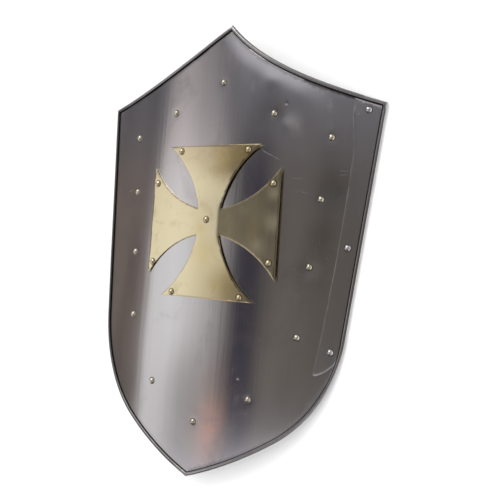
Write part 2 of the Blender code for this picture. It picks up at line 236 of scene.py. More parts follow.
def half_outline(side, hollow, deepest, waist_depth):
    """The plate's outline down one side, from the peak up to the toe, the toe left out."""
    corner = flat(side * HALF_WIDTH, CORNER_DEPTH)
    waist = flat(side * WAIST_HALF_WIDTH, waist_depth)
    way = (waist - corner).normalized()
    centre = waist + side * HIP_RADIUS * Vector((way.y, -way.x))
    turned = Matrix.Rotation(-side * HIP_TURN, 2)
    hip_end = centre + turned @ (waist - centre)
    points = flank(flat(PEAK_SHIFT, 0.0), corner, hollow, deepest, FLANK_STEPS)
    points += arc(corner, waist, 0.0, SIDE_STEPS)
    points += tangent_arc(waist, way, hip_end, HIP_STEPS)
    points += tangent_arc(hip_end, turned @ way, flat(TOE_SHIFT, HEIGHT), TOE_STEPS)
    return points


def plate_outline():
    """The plate's whole outline, counter-clockwise from the peak, clear beside its corners."""
    toe = flat(TOE_SHIFT, HEIGHT)
    left = half_outline(-1, *LEFT_FLANK, LEFT_WAIST_DEPTH)
    right = half_outline(1, *RIGHT_FLANK, RIGHT_WAIST_DEPTH)
    corners = [left[0], flat(-HALF_WIDTH, CORNER_DEPTH), toe, flat(HALF_WIDTH, CORNER_DEPTH)]
    points = []
    for point in left + [toe] + right[:0:-1]:
        away = min((point - corner).length for corner in corners)
        if away < 1e-6 or away > CORNER_CLEARANCE:
            points.append(point)
    return points


def mitres(points):
    """For each point of a counter-clockwise outline, the step inwards that insets it by one."""
    steps = []
    for index, here in enumerate(points):
        first = (here - points[index - 1]).normalized()
        second = (points[(index + 1) % len(points)] - here).normalized()
        both = Vector((-first.y - second.y, first.x + second.x))
        steps.append(both / (1 + first.dot(second)))
    return steps


def inset(points, distance):
    """The outline moved inwards by a distance, its corners kept sharp."""
    return [point + step * distance for point, step in zip(points, mitres(points))]


def in_from_side(distance, depth, side=1):
    """The point at a depth that lies in from a straight side, or from its run downwards."""
    waist_depth = RIGHT_WAIST_DEPTH if side == 1 else LEFT_WAIST_DEPTH
    share = (depth - CORNER_DEPTH) / (waist_depth - CORNER_DEPTH)
    width = HALF_WIDTH + (WAIST_HALF_WIDTH - HALF_WIDTH) * share
    return flat(side * (width - distance), depth)


def ring(centre, radius, count, turn=0.0):
    """Points of a circle on the flat sheet."""
    angles = [2 * pi * (index + turn) / count for index in range(count)]
    return [centre + radius * Vector((cos(angle), sin(angle))) for angle in angles]


def inside(points, loop):
    """Which of the points lie inside a closed outline."""
    x, y = points.T
    found = np.zeros(len(points), bool)
    for here, after in zip(loop, loop[1:] + loop[:1]):
        if here.y != after.y:
            cross_x = (after.x - here.x) * (y - here.y) / (after.y - here.y) + here.x
            found ^= ((here.y > y) != (after.y > y)) & (x < cross_x)
    return found


def fill_sheet(outline, holes, step, spots=()):
    """A flat sheet inside an outline, with rivet holes, meshed evenly and finer round its spots."""
    loops = [outline] + [ring(hole, HOLE_RADIUS, RING_POINTS) for hole in holes]
    places = []
    edges = []
    for loop in loops:
        first = len(places)
        places += loop
        edges += [(first + k, first + (k + 1) % len(loop)) for k in range(len(loop))]
    corners = np.array(outline)
    low, high = corners.min(axis=0), corners.max(axis=0)
    rows = np.arange(low[1], high[1], step * ROW_SHARE)
    lattice = []
    for number, row in enumerate(rows):
        across = np.arange(low[0] + step / 2 * (number % 2), high[0], step)
        lattice.append(np.stack([across, np.full(len(across), row)], axis=1))
    lattice = np.concatenate(lattice)
    lattice = lattice[inside(lattice, inset(outline, EDGE_CLEARANCE * step))]
    focus = [(hole, RIVET_RINGS) for hole in holes] + list(spots)
    rings = []
    for centre, radii in focus:
        away = np.hypot(*(lattice - np.array(centre)).T)
        lattice = lattice[away > radii[-1] + RING_CLEARANCE * step]
        for number, radius in enumerate(radii):
            rings += ring(centre, radius, RING_POINTS, 0.5 * (number % 2 == 0))
    rings = np.array(rings).reshape(-1, 2)
    rings = rings[inside(rings, inset(outline, RING_EDGE_CLEARANCE * step))]
    places += [Vector(place) for place in np.concatenate([lattice, rings])]
    verts, _, faces, *_ = delaunay_2d_cdt(places, edges, [], 0, 1e-7)
    flat_verts = np.array(verts)
    middles = np.array([flat_verts[list(face)].mean(axis=0) for face in faces])
    kept = inside(middles, outline)
    for hole in holes:
        kept &= np.hypot(*(middles - np.array(hole)).T) > HOLE_RADIUS * 0.98
    mesh = bmesh.new()
    shade_layer = mesh.verts.layers.float.new("painted_shade")
    mesh.verts.layers.float.new("haze")
    made = [mesh.verts.new((vert.x, vert.y, 0.0)) for vert in verts]
    # Painted shadow: a dark ring round each rivet hole
    for hole in holes:
        away = np.hypot(*(flat_verts - np.array(hole)).T)
        for index in np.flatnonzero(away < RIVET_SHADOW_REACH):
            made[index][shade_layer] = RIVET_PAINTED_SHADOW
    for face, wanted in zip(faces, kept):
        if wanted:
            mesh.faces.new([made[corner] for corner in face])
    for vert in made:
        if not vert.link_faces:
            mesh.verts.remove(vert)
    bmesh.ops.recalc_face_normals(mesh, faces=mesh.faces[:])
    mesh.faces.ensure_lookup_table()
    if mesh.faces[0].normal.z < 0:
        bmesh.ops.reverse_faces(mesh, faces=mesh.faces[:])
    return mesh, made[:len(outline)]


# The shield lies hollow side down on its rim, a little tilted, as two rivets on its crest show
rivet_boxes = [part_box("field_rivet_01"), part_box("field_rivet_14")]
crown_top, toe_top = [Vector((0, (low.y + high.y) / 2, high.z)) for low, high in rivet_boxes]
LAY_TILT = atan2(crown_top.z - toe_top.z, crown_top.y - toe_top.y)
HEAD_TOP = 0.0039
crown_height = (HEIGHT / 2 - CROWN_RIVET[1]) * sin(LAY_TILT) + HEAD_TOP * cos(LAY_TILT)
laid = Matrix.Translation((0, 0, crown_top.z - crown_height)) @ Matrix.Rotation(LAY_TILT, 4, "X")


def held(value):
    """The value, held between 0 and 1."""
    return min(1.0, max(0.0, value))


def bent(x, y, height):
    """A point of the flat sheet at a height over it, bent round the long axis and laid down."""
    angle = x / CURVE_RADIUS
    reach = CURVE_RADIUS + height
    return laid @ Vector((reach * sin(angle), y, reach * cos(angle) - CURVE_RADIUS))


for side in (-1, 1):
    for depth in SIDE_RIVET_DEPTHS:
        place = in_from_side(RIVET_INSETS[side], depth, side)
        FIELD_RIVETS.append((place.x, depth))
FIELD_RIVETS += [(-0.0869, 0.5335), (0.0835, 0.5335), TOE_RIVET]
field_places = [flat(*rivet) for rivet in FIELD_RIVETS]


def plate_wave(x, y):
    """How far the sheet stands out of its even curve at a place."""
    here = Vector((x, y, 0.0))
    rise = WAVE_RISE * noise.noise(here / WAVE_LENGTH + WAVE_OFFSET)
    for centre in field_places:
        away = hypot(x - centre.x, y - centre.y)
        if away < 4 * DIMPLE_REACH:
            rise -= DIMPLE * exp(-((away / DIMPLE_REACH) ** 2))
    for shift, depth, height, reach in KNOCKS:
        away = hypot(x - shift, y - HEIGHT / 2 + depth)
        if away < 3 * reach:
            rise += height * exp(-((away / reach) ** 2))
    return rise - flank_fall(x, y)


right_flank_line = np.array(
    flank(flat(PEAK_SHIFT, 0.0), flat(HALF_WIDTH, CORNER_DEPTH), *RIGHT_FLANK, FLANK_STEPS)
)


def flank_fall(x, y):
    """How far the sheet falls off near the right flank."""
    if y < HEIGHT / 2 - FLANK_FALL_DEPTH or x < FLANK_FALL_START:
        return 0.0
    away = float(np.min(np.hypot(right_flank_line[:, 0] - x, right_flank_line[:, 1] - y)))
    share = held((FLANK_FALL_END - x) / FLANK_FALL_FADE)
    return FLANK_FALL * share * max(0.0, FLANK_FALL_WIDTH - max(away, FLANK_FALL_EDGE)) ** 2


def cloud(x, y, clouds):
    """How hazy or dull a sheet is at a place."""
    amount = 0.0
    for shift, depth, reach, strength in clouds:
        away = hypot(x - shift, y - HEIGHT / 2 + depth)
        amount += strength * exp(-((away / reach) ** 2))
    return amount


def thicken(mesh, thickness):
    """Gives a sheet its thickness, half to each side, and closes its edges."""
    mesh.normal_update()
    shade_layer = mesh.verts.layers.float["painted_shade"]
    twins = {}
    for vert in mesh.verts[:]:
        twin = mesh.verts.new(vert.co - vert.normal * thickness / 2)
        twin[shade_layer] = vert[shade_layer]
        twins[vert] = twin
        vert.co += vert.normal * thickness / 2
    for edge in [edge for edge in mesh.edges if edge.is_boundary]:
        loop = edge.link_loops[0]
        here, after = loop.vert, loop.link_loop_next.vert
        mesh.faces.new((after, here, twins[here], twins[after]))
    for face in [face for face in mesh.faces if all(vert in twins for vert in face.verts)]:
        mesh.faces.new([twins[vert] for vert in reversed(face.verts)])


def finished(name, mesh, material, smooth_to=radians(38.0)):
    """The object made of a finished mesh, smooth but for its sharp edges."""
    data = bpy.data.meshes.new(name)
    mesh.to_mesh(data)
    mesh.free()
    data.materials.append(material)
    data.shade_smooth()
    data.set_sharp_from_angle(angle=smooth_to)
    item = bpy.data.objects.new(name, data)
    bpy.context.scene.collection.objects.link(item)
    return item


def add(tree, kind, inputs=None, **settings):
    """Adds a node to a tree, sets it, and gives each named input its value or its link."""
    made = tree.nodes.new(kind)
    for name, value in settings.items():
        setattr(made, name, value)
    for name, value in (inputs or {}).items():
        if isinstance(value, bpy.types.NodeSocket):
            tree.links.new(value, made.inputs[name])
        else:
            made.inputs[name].default_value = value
    return made


def calc(tree, operation, *values, clamp=False):
    """The result of a Math node."""
    inputs = dict(enumerate(values))
    return add(tree, "ShaderNodeMath", inputs, operation=operation, use_clamp=clamp).outputs[0]


def vector(tree, operation, *values):
    """The result of a Vector Math node, which is a number for a length or a dot product."""
    made = add(tree, "ShaderNodeVectorMath", dict(enumerate(values)), operation=operation)
    return made.outputs["Value" if operation in ("LENGTH", "DOT_PRODUCT") else "Vector"]


def between(tree, value, low, high, start=0.0, end=1.0):
    """A value that goes softly from start to end as another goes from low to high."""
    inputs = {"Value": value, 1: low, 2: high, 3: start, 4: end}
    return add(
        tree, "ShaderNodeMapRange", inputs, interpolation_type="SMOOTHSTEP"
    ).outputs["Result"]


def blend(tree, share, first, second):
    """One colour going over into another."""
    inputs = {0: share, 6: first, 7: second}
    return add(tree, "ShaderNodeMix", inputs, data_type="RGBA").outputs[2]


def new_group(name, vectors, values, result):
    """An empty node group with vector inputs, number inputs and one result, and both its ends."""
    group = bpy.data.node_groups.new(name, "ShaderNodeTree")
    for label in vectors:
        group.interface.new_socket(name=label, in_out="INPUT", socket_type="NodeSocketVector")
    for label in values:
        group.interface.new_socket(name=label, in_out="INPUT", socket_type="NodeSocketFloat")
    group.interface.new_socket(name=result, in_out="OUTPUT", socket_type="NodeSocketFloat")
    return group, add(group, "NodeGroupInput").outputs, add(group, "NodeGroupOutput").inputs


# Cloudy patches of stain and haze that polishing leaves
cloud_group, given, sent = new_group(
    "cloudy_patches", ("Vector",), ("Scale", "Cover"), "Patches"
)
cloud_noise = add(
    cloud_group, "ShaderNodeTexNoise",
    {"Vector": given["Vector"], "Scale": given["Scale"], "Detail": 6.0,
     "Roughness": 0.62, "Distortion": 0.6},
)
cloud_low = calc(cloud_group, "SUBTRACT", 0.62, given["Cover"])
cloud_high = calc(cloud_group, "ADD", cloud_low, 0.28)
cloud_mask = between(cloud_group, cloud_noise.outputs["Fac"], cloud_low, cloud_high)
cloud_group.links.new(cloud_mask, sent["Patches"])

# Fine straight scratches that run one way, each a drawn-out cell of a Voronoi texture
scratch_group, given, sent = new_group(
    "fine_scratches", ("Vector",), ("Turn", "Length", "Spacing", "Width"), "Scratches"
)
scratch_bent = add(
    scratch_group, "ShaderNodeTexNoise", {"Vector": given["Vector"], "Scale": 9.0, "Detail": 1.0}
)
scratch_turn = calc(
    scratch_group, "MULTIPLY_ADD", scratch_bent.outputs["Fac"], 1.6, given["Turn"]
)
scratch_turned = add(
    scratch_group, "ShaderNodeVectorRotate",
    {"Vector": given["Vector"], "Angle": scratch_turn}, rotation_type="Z_AXIS",
)
scratch_scale = add(
    scratch_group, "ShaderNodeCombineXYZ",
    {"X": calc(scratch_group, "DIVIDE", 1.0, given["Spacing"]),
     "Y": calc(scratch_group, "DIVIDE", 1.0, given["Length"]), "Z": 0.0},
)
scratch_place = vector(
    scratch_group, "MULTIPLY", scratch_turned.outputs[0], scratch_scale.outputs[0]
)
scratch_cells = add(
    scratch_group, "ShaderNodeTexVoronoi", {"Vector": scratch_place, "Scale": 1.0},
    voronoi_dimensions="2D",
)
scratch_mask = between(
    scratch_group, scratch_cells.outputs["Distance"], 0.0, given["Width"], 1.0, 0.0
)
scratch_group.links.new(scratch_mask, sent["Scratches"])

# Lines down the sheet, left by the rollers and by polishing one way
line_group, given, sent = new_group(
    "polishing_lines", ("Vector",), ("Across", "Along"), "Lines"
)
line_scale = add(
    line_group, "ShaderNodeCombineXYZ",
    {"X": given["Across"], "Y": given["Along"], "Z": 0.0},
)
line_place = vector(line_group, "MULTIPLY", given["Vector"], line_scale.outputs[0])
line_noise = add(
    line_group, "ShaderNodeTexNoise",
    {"Vector": line_place, "Scale": 1.0, "Detail": 4.0, "Roughness": 0.6},
    noise_dimensions="2D",
)
line_group.links.new(line_noise.outputs["Fac"], sent["Lines"])

# One scratch between two places, seen from the front of the sheet, thin and uneven
MARK_SHAKE = (0.0012, 0.0012, 0.0)
MARK_TAPER = 0.004
mark_group, given, sent = new_group(
    "single_scratch", ("Vector", "From", "Along"), ("Length", "Width"), "Scratch"
)
mark_shake = add(
    mark_group, "ShaderNodeTexNoise", {"Vector": given["Vector"], "Scale": 160.0, "Detail": 2.0}
)
mark_offset = vector(mark_group, "MULTIPLY", mark_shake.outputs["Color"], MARK_SHAKE)
mark_place = vector(mark_group, "SUBTRACT", given["Vector"], given["From"])
mark_place = vector(mark_group, "ADD", mark_place, mark_offset)
mark_place = vector(mark_group, "MULTIPLY", mark_place, (1.0, 1.0, 0.0))
mark_reach = vector(mark_group, "DOT_PRODUCT", mark_place, given["Along"])
mark_beside = vector(mark_group, "CROSS_PRODUCT", mark_place, given["Along"])
mark_away = vector(mark_group, "LENGTH", mark_beside)
mark_line = between(mark_group, mark_away, 0.0, given["Width"], 1.0, 0.0)
mark_start = between(mark_group, mark_reach, 0.0, MARK_TAPER)
mark_tail = calc(mark_group, "SUBTRACT", given["Length"], mark_reach)
mark_end = between(mark_group, mark_tail, 0.0, MARK_TAPER)
mark_mask = calc(mark_group, "MULTIPLY", calc(mark_group, "MULTIPLY", mark_start, mark_end), mark_line)
mark_group.links.new(mark_mask, sent["Scratch"])


def placed(tree, group, inputs):
    """The only output of a node group that is set in a material."""
    return add(tree, "ShaderNodeGroup", inputs, node_tree=group).outputs[0]


def layer(tree, name):
    """How much painted shade or haze the mesh has at a place."""
    return add(tree, "ShaderNodeAttribute", attribute_name=name).outputs["Fac"]


def bump(tree, height, strength, distance, under=None):
    """A fine relief, laid over another if one is given."""
    inputs = {"Height": height, "Strength": strength, "Distance": distance}
    if under is not None:
        inputs["Normal"] = under
    return add(tree, "ShaderNodeBump", inputs).outputs["Normal"]


def hair_scratches(tree, place, *kinds):
    """Two kinds of fine scratches together: the turn, length, spacing and width of each."""
    labels = ("Turn", "Length", "Spacing", "Width")
    inputs = [dict(zip(labels, kind), Vector=place) for kind in kinds]
    return calc(tree, "MAXIMUM", *[placed(tree, scratch_group, kind) for kind in inputs])


def new_material(name):
    """A material, its node tree, its shader and the place on the object that its textures use."""
    material = bpy.data.materials.new(name)
    material.use_nodes = True
    tree = material.node_tree
    shader = tree.nodes["Principled BSDF"]
    place = add(tree, "ShaderNodeTexCoord").outputs["Object"]
    return material, tree, shader, place


def polished_steel(name, colour, stained, roughness, haze, marks=()):
    """Hand-polished steel: stains, haze, lines, scratches, and painted shade where the mesh's layer
    marks it: round rivets, in the crease and on the roll.
    """
    material, tree, shader, place = new_material(name)
    stains = placed(tree, cloud_group, {"Vector": place, "Scale": 11.0, "Cover": 0.10})
    smears = placed(tree, cloud_group, {"Vector": place, "Scale": 34.0, "Cover": 0.08})
    lines = placed(tree, line_group, {"Vector": place, "Across": 420.0, "Along": 5.0})
    broad = placed(tree, line_group, {"Vector": place, "Across": 75.0, "Along": 2.2})
    scratches = hair_scratches(
        tree, place, (0.5, 0.030, 0.0060, 0.035), (1.9, 0.045, 0.0090, 0.026)
    )
    for start, end, width in marks:
        start, end = [bent(shift, HEIGHT / 2 - depth, 0.0) for shift, depth in (start, end)]
        way = Vector((end.x - start.x, end.y - start.y, 0.0))
        mark = placed(
            tree, mark_group,
            {"Vector": place, "From": start, "Along": way.normalized(), "Length": way.length,
             "Width": width},
        )
        scratches = calc(tree, "MAXIMUM", scratches, mark)
    thinned = between(tree, smears, 0.0, 1.0, 0.9, 0.5)
    painted_shade = calc(tree, "MULTIPLY", layer(tree, "painted_shade"), thinned)
    clouds = layer(tree, "haze")
    ragged = between(tree, smears, 0.0, 1.0, 0.40, 1.25)
    hazy = calc(tree, "MULTIPLY", calc(tree, "MAXIMUM", clouds, 0.0), ragged)
    dull = calc(tree, "MAXIMUM", calc(tree, "MULTIPLY", clouds, -1.0), 0.0)
    dull = calc(tree, "MULTIPLY", dull, ragged)
    tone = blend(tree, calc(tree, "MULTIPLY", stains, 0.75), colour, stained)
    tone = blend(tree, calc(tree, "MULTIPLY", hazy, 0.5, clamp=True), tone, STEEL_SCRATCHED)
    tone = blend(tree, calc(tree, "MULTIPLY", dull, 0.8, clamp=True), tone, STEEL_DULL)
    tone = blend(tree, calc(tree, "MULTIPLY", scratches, 0.35), tone, STEEL_SCRATCHED)
    # Painted shade: the steel goes towards near-black, and grows rougher, where the mesh's layer marks
    # shade
    tone = blend(tree, painted_shade, tone, STEEL_PAINTED_SHADE)
    tree.links.new(tone, shader.inputs["Base Color"])
    rough = calc(tree, "MULTIPLY_ADD", stains, haze, roughness)
    rough = calc(tree, "MULTIPLY_ADD", smears, 0.04, rough)
    rough = calc(tree, "MULTIPLY_ADD", hazy, 0.17, rough)
    rough = calc(tree, "MULTIPLY_ADD", lines, 0.05, rough)
    rough = calc(tree, "MULTIPLY_ADD", painted_shade, 0.30, rough)
    rough = calc(tree, "MULTIPLY_ADD", scratches, 0.12, rough, clamp=True)
    tree.links.new(rough, shader.inputs["Roughness"])
    shader.inputs["Metallic"].default_value = 1.0
    relief = bump(tree, lines, 1.0, 0.000006)
    relief = bump(tree, broad, 1.0, 0.00007, relief)
    relief = bump(tree, scratches, 0.35, -0.00003, relief)
    tree.links.new(relief, shader.inputs["Normal"])
    return material


steel = polished_steel("polished_steel", STEEL, STEEL_STAINED, 0.125, 0.06, LONG_SCRATCHES)

roll_centre = ROLL_DIAMETER / 2
roll_radius = (ROLL_DIAMETER - SHEET) / 2
roll_turn = 2 * pi - ROLL_ENTRY - ROLL_MOUTH
neck_inset = roll_centre + roll_radius * cos(ROLL_ENTRY) + ROLL_NECK
plate_edge = plate_outline()
field_edge = inset(plate_edge, neck_inset + CREASE_WIDTH)
crease_edge = inset(plate_edge, neck_inset)
knock_spots = [(flat(*knock[:2]), KNOCK_RINGS) for knock in KNOCKS if knock[3] < SMALL_KNOCK]
plate_mesh, plate_rim = fill_sheet(field_edge, field_places, PLATE_STEP, knock_spots)
shade_layer = plate_mesh.verts.layers.float["painted_shade"]
haze_layer = plate_mesh.verts.layers.float["haze"]
for vert in plate_mesh.verts:
    vert[haze_layer] = cloud(vert.co.x, vert.co.y, CLOUDS)
# The sheet's edge beside the roll gets painted shade, the crease's shadow
for vert in plate_rim:
    x, depth = vert.co.x, HEIGHT / 2 - vert.co.y
    if depth > CORNER_SHADE_DEPTH:
        vert[shade_layer] = RIGHT_CREASE_SHADE if x > 0 else LEFT_CREASE_SHADE
    else:
        vert[shade_layer] = CORNER_CREASE_SHADE if x > CORNER_SHADE_FROM else FLANK_CREASE_SHADE


def join_rings(mesh, first, second):
    """Fills the band between two rings of as many points with faces."""
    for k, vert in enumerate(second):
        mesh.faces.new((first[k], first[k - 1], second[k - 1], vert))


def roll_shade(place, angle):
    """How much painted shade darkens the roll at a place of the edge and an angle round it."""
    top, outer = ROLL_FLANK_SHADE
    if place.y < HEIGHT / 2 - CORNER_DEPTH:
        left = held(-place.x / ROLL_SIDES_BLEND)
        top, outer = [
            right_shade + (left_shade - right_shade) * left
            for right_shade, left_shade in zip(ROLL_RIGHT_SHADE, ROLL_LEFT_SHADE)
        ]
    share = held((ROLL_TOP_FROM - angle) / (ROLL_TOP_FROM - ROLL_OUTER_TO))
    return top + (outer - top) * share


edge_mitres = mitres(crease_edge)
crease_ring = [plate_mesh.verts.new((point.x, point.y, 0.0)) for point in crease_edge]
for rim_vert, vert in zip(plate_rim, crease_ring):
    vert[shade_layer] = rim_vert[shade_layer]
join_rings(plate_mesh, plate_rim, crease_ring)
last_ring = crease_ring
for step in range(ROLL_STEPS + 1):
    angle = ROLL_ENTRY + roll_turn * step / ROLL_STEPS
    new_ring = []
    for place, mitre in zip(crease_edge, edge_mitres):
        uneven = noise.noise(Vector((place.x, place.y, 0.2)) * ROLL_UNEVEN_SCALE)
        radius = roll_radius * (1 - ROLL_UNEVENNESS * (0.5 + 0.5 * uneven))
        inwards = roll_centre + radius * cos(angle) - neck_inset
        spot = place + mitre * inwards
        vert = plate_mesh.verts.new((spot.x, spot.y, -radius * sin(angle)))
        # Painted shade in the roll's mouth, darkest at the slit
        mouth_shade = 1 - abs(step - ROLL_STEPS) / MOUTH_SHADE_STEPS
        vert[shade_layer] = max(roll_shade(place, angle), mouth_shade)
        new_ring.append(vert)
    join_rings(plate_mesh, last_ring, new_ring)
    last_ring = new_ring
bmesh.ops.recalc_face_normals(plate_mesh, faces=plate_mesh.faces[:])
middle_face = min(plate_mesh.faces, key=lambda face: face.calc_center_median().length)
if middle_face.normal.z < 0:
    bmesh.ops.reverse_faces(plate_mesh, faces=plate_mesh.faces[:])
for vert in plate_mesh.verts:
    vert.co = bent(vert.co.x, vert.co.y, vert.co.z + plate_wave(vert.co.x, vert.co.y))
thicken(plate_mesh, SHEET)
plate = finished("steel_plate", plate_mesh, steel)
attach(plate, "root")
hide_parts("plate")


# The side strip. A narrow sheet of the same steel laid on the plate down its right side, cut by
# hand with a wavy inner edge and a slanted foot, its top and outer edges butted against the roll.
STRIP_SHEET = 0.0010
STRIP_GAP = 0.0003
ROLL_ROOM = 0.0070

# The strip's outline: widths in from the plate's straight side, at depths down the sheet
STRIP_TOP_WIDTH = 0.0445
STRIP_WIDEST = (0.0444, 0.127)
STRIP_WAIST = (0.0343, 0.182)
STRIP_INNER_BOW = 0.0035
STRIP_WAIST_BOW = 0.0012
STRIP_FOOT = (0.0367, 0.490)
STRIP_FOOT_BOW = 0.0028
STRIP_END_DEPTH = 0.469

STRIP_STEP = 0.0030
STRIP_WAVER = 0.0005
STRIP_LIFT = 0.00035
STRIP_EDGE_ROUND = 0.00030

# Its worn edge: how wide, how deep, from where to where it fades and by what share. It is not worn
# beside the roll: so far in from the plate's side, and so far down from the strip's top.
STRIP_WORN = 0.0010
STRIP_WORN_DROP = 0.00030
STRIP_WORN_FADES = (0.300, 0.470, 0.48)
STRIP_BED_WIDTH = 0.0085
STRIP_TOP_BED = 0.001

STRIP_RIVETS = ((0.2179, 0.1210), (0.2056, 0.3106), (0.1945, 0.4538))

STRIP_STEEL = (0.64, 0.63, 0.625, 1.0)
STRIP_STAINED = (0.50, 0.49, 0.475, 1.0)


def passing(points, measure, value):
    """The first place along the points where the measure rises past the value."""
    for here, after in zip(points, points[1:]):
        low, high = measure(here), measure(after)
        if low <= value < high:
            return here.lerp(after, (value - low) / (high - low))


def round_edges(mesh, size):
    """Rounds off the sharp edges of a thick sheet, as a file does."""
    mesh.normal_update()
    sharp = [
        edge for edge in mesh.edges
        if len(edge.link_faces) == 2 and edge.calc_face_angle() > radians(60.0)
    ]
    bmesh.ops.bevel(
        mesh, geom=sharp, offset=size, offset_type="OFFSET", segments=2, profile=0.6,
        affect="EDGES", clamp_overlap=True,
    )


strip_bed = inset(plate_outline(), ROLL_ROOM + STRIP_GAP)
strip_bed = [strip_bed[0]] + strip_bed[:0:-1]
strip_top = passing(strip_bed, lambda point: point.x, HALF_WIDTH - STRIP_TOP_WIDTH)
strip_end = passing(strip_bed, lambda point: HEIGHT / 2 - point.y, STRIP_END_DEPTH)
strip_foot = in_from_side(*STRIP_FOOT)
strip_waist = in_from_side(*STRIP_WAIST)
strip_outline = [strip_top]
strip_outline += [point for point in strip_bed if point.x > strip_top.x and point.y > strip_end.y]
strip_outline += arc(strip_end, strip_foot, STRIP_FOOT_BOW, 10)
inner_edge = arc(strip_foot, strip_waist, -STRIP_INNER_BOW, 90)
inner_edge += arc(strip_waist, in_from_side(*STRIP_WIDEST), -STRIP_WAIST_BOW, 18)
inner_edge += arc(in_from_side(*STRIP_WIDEST), strip_top, 0.0, 8)
for point in inner_edge[1:]:
    waver = noise.noise(Vector((point.y * 45.0, 0.3, 5.1))) * STRIP_WAVER
    strip_outline.append(point + Vector((waver, 0.0)))
strip_outline = strip_outline[::-1]
strip_places = [flat(*rivet) for rivet in STRIP_RIVETS]
strip_field = inset(strip_outline, STRIP_WORN)
strip_mesh, strip_rim = fill_sheet(strip_field, strip_places, STRIP_STEP)
from_depth, to_depth, fade = STRIP_WORN_FADES
worn_ring = []
for point in strip_outline:
    depth = HEIGHT / 2 - point.y
    beside_roll = point.x > in_from_side(STRIP_BED_WIDTH, depth).x
    unevenly = 0.8 + 0.6 * noise.noise(Vector((point.y * 60.0, 0.0, 1.0)))
    unevenly *= 1 - fade * held((depth - from_depth) / (to_depth - from_depth))
    drop = STRIP_WORN_DROP * unevenly
    if beside_roll or point.y > strip_top.y - STRIP_TOP_BED:
        drop = 0.0
    worn_ring.append(strip_mesh.verts.new((point.x, point.y, -drop)))
join_rings(strip_mesh, strip_rim, worn_ring)
strip_height = SHEET / 2 + STRIP_GAP + STRIP_SHEET / 2
for vert in strip_mesh.verts:
    x, y = vert.co.xy
    lift = STRIP_LIFT * max(0.0, noise.noise(Vector((x * 9.0, y * 14.0, 2.0))))
    vert.co = bent(x, y, strip_height + vert.co.z + plate_wave(x, y) + lift)
thicken(strip_mesh, STRIP_SHEET)
round_edges(strip_mesh, STRIP_EDGE_ROUND)
strip_steel = polished_steel("strip_steel", STRIP_STEEL, STRIP_STAINED, 0.16, 0.06)
strip = finished("steel_side_strip", strip_mesh, strip_steel)
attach(strip, "root")
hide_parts("side_strip")


# The cross. One sheet of brass, a cross pattee with hollow-sided arms, a little stiffer than the
# plate: its rivets pull it down over the curve, so its arms stay flatter and it is creased at the
# neck of the right arm. It is polished, and has begun to go brown and spotty.
CROSS_SHIFT = -0.0040
CROSS_DEPTH = 0.2882
CROSS_TURN = radians(1.4)
CROSS_REACH = 0.112
CROSS_END_HALF_WIDTH = 0.0805
CROSS_NECK = 0.0195
CROSS_SIDE_HOLLOW = 0.0105
CROSS_SHEET = 0.0010
CROSS_STANDOFF = 0.0012
CROSS_STEP = 0.0026
CROSS_EDGE_ROUND = 0.00020
CROSS_CREASE = 0.0150
CROSS_RIVET_REACH = 0.1030
LEFT_STIFFNESS = 0.36
RIGHT_STIFFNESS = 0.95
RIGHT_END_LIFT = 0.0034
UPRIGHT_STIFFNESS = 0.06
TIP_STIFFNESS = 0.50
UPPER_LIFT = 0.0022
LOWER_LIFT = 0.0014
CROSS_RIPPLE = 0.00008

# Where on the cross's arms, from its centre, each of its bends begins and is full
CENTRE_HELD = 0.004
TIP_BEND_FROM = 0.035
STIFF_SPAN = (0.040, 0.090)
TILT_SPAN = (-0.070, 0.070)
LIFT_SPAN = (0.020, 0.075)
ARM_BLEND = (-0.003, 0.014)

# How far each arm's two rivets lie in from its end and from its sides
ARM_RIVET_INSETS = (
    (0.0078, 0.0212, 0.0223),
    (0.0084, 0.0236, 0.0175),
    (0.0059, 0.0207, 0.0213),
    (0.0113, 0.0258, 0.0238),
)
CENTRE_RIVET = (-0.0041, 0.0031)

# Hazy spots (above 0) and warmer, deeper stains (below 0): place on the sheet, reach, strength
CROSS_CLOUDS = (
    (0.1000, 0.2840, 0.013, 0.90),
    (0.0780, 0.3190, 0.013, 0.60),
    (0.0980, 0.2430, 0.009, 0.80),
    (0.0520, 0.2690, 0.009, 0.30),
    (0.0270, 0.1900, 0.030, -1.00),
    (0.0560, 0.2000, 0.022, -0.90),
    (0.0340, 0.3760, 0.030, -1.00),
    (-0.0080, 0.3330, 0.022, -0.70),
    (-0.0180, 0.2980, 0.012, -0.60),
    (0.0700, 0.2950, 0.012, -0.60),
    (-0.1290, 0.2480, 0.012, -0.60),
)

# Painted shade: the near-black that the brass is darkened to round the cross's rivets
BRASS_PAINTED_SHADE = (0.10, 0.07, 0.04, 1.0)
BRASS = (0.82, 0.73, 0.48, 1.0)
BRASS_DULL = (0.60, 0.50, 0.26, 1.0)
BRASS_BROWN = (0.38, 0.29, 0.15, 1.0)
BRASS_WARM = (0.76, 0.61, 0.29, 1.0)
BRASS_BRIGHT = (0.95, 0.88, 0.68, 1.0)


def cross_place(x, y):
    """A point of the cross, given from its centre along its own arms, on the flat sheet."""
    return flat(CROSS_SHIFT, CROSS_DEPTH) + Matrix.Rotation(CROSS_TURN, 2) @ Vector((x, y))


def quarter_turns(x, y):
    """A point of the cross and its three fellows on the other arms."""
    return [cross_place(*pair) for pair in ((x, y), (-y, x), (-x, -y), (y, -x))]


def soft_step(value, low, high):
    """Goes softly from 0 to 1 as the value goes from low to high."""
    share = held((value - low) / (high - low))
    return share * share * (3 - 2 * share)


def left_rise(x):
    """How far the left arm, held down by its rivets and the centre one, stands over the curve."""
    return LEFT_STIFFNESS * (x + CROSS_RIVET_REACH) * (x + CENTRE_HELD)


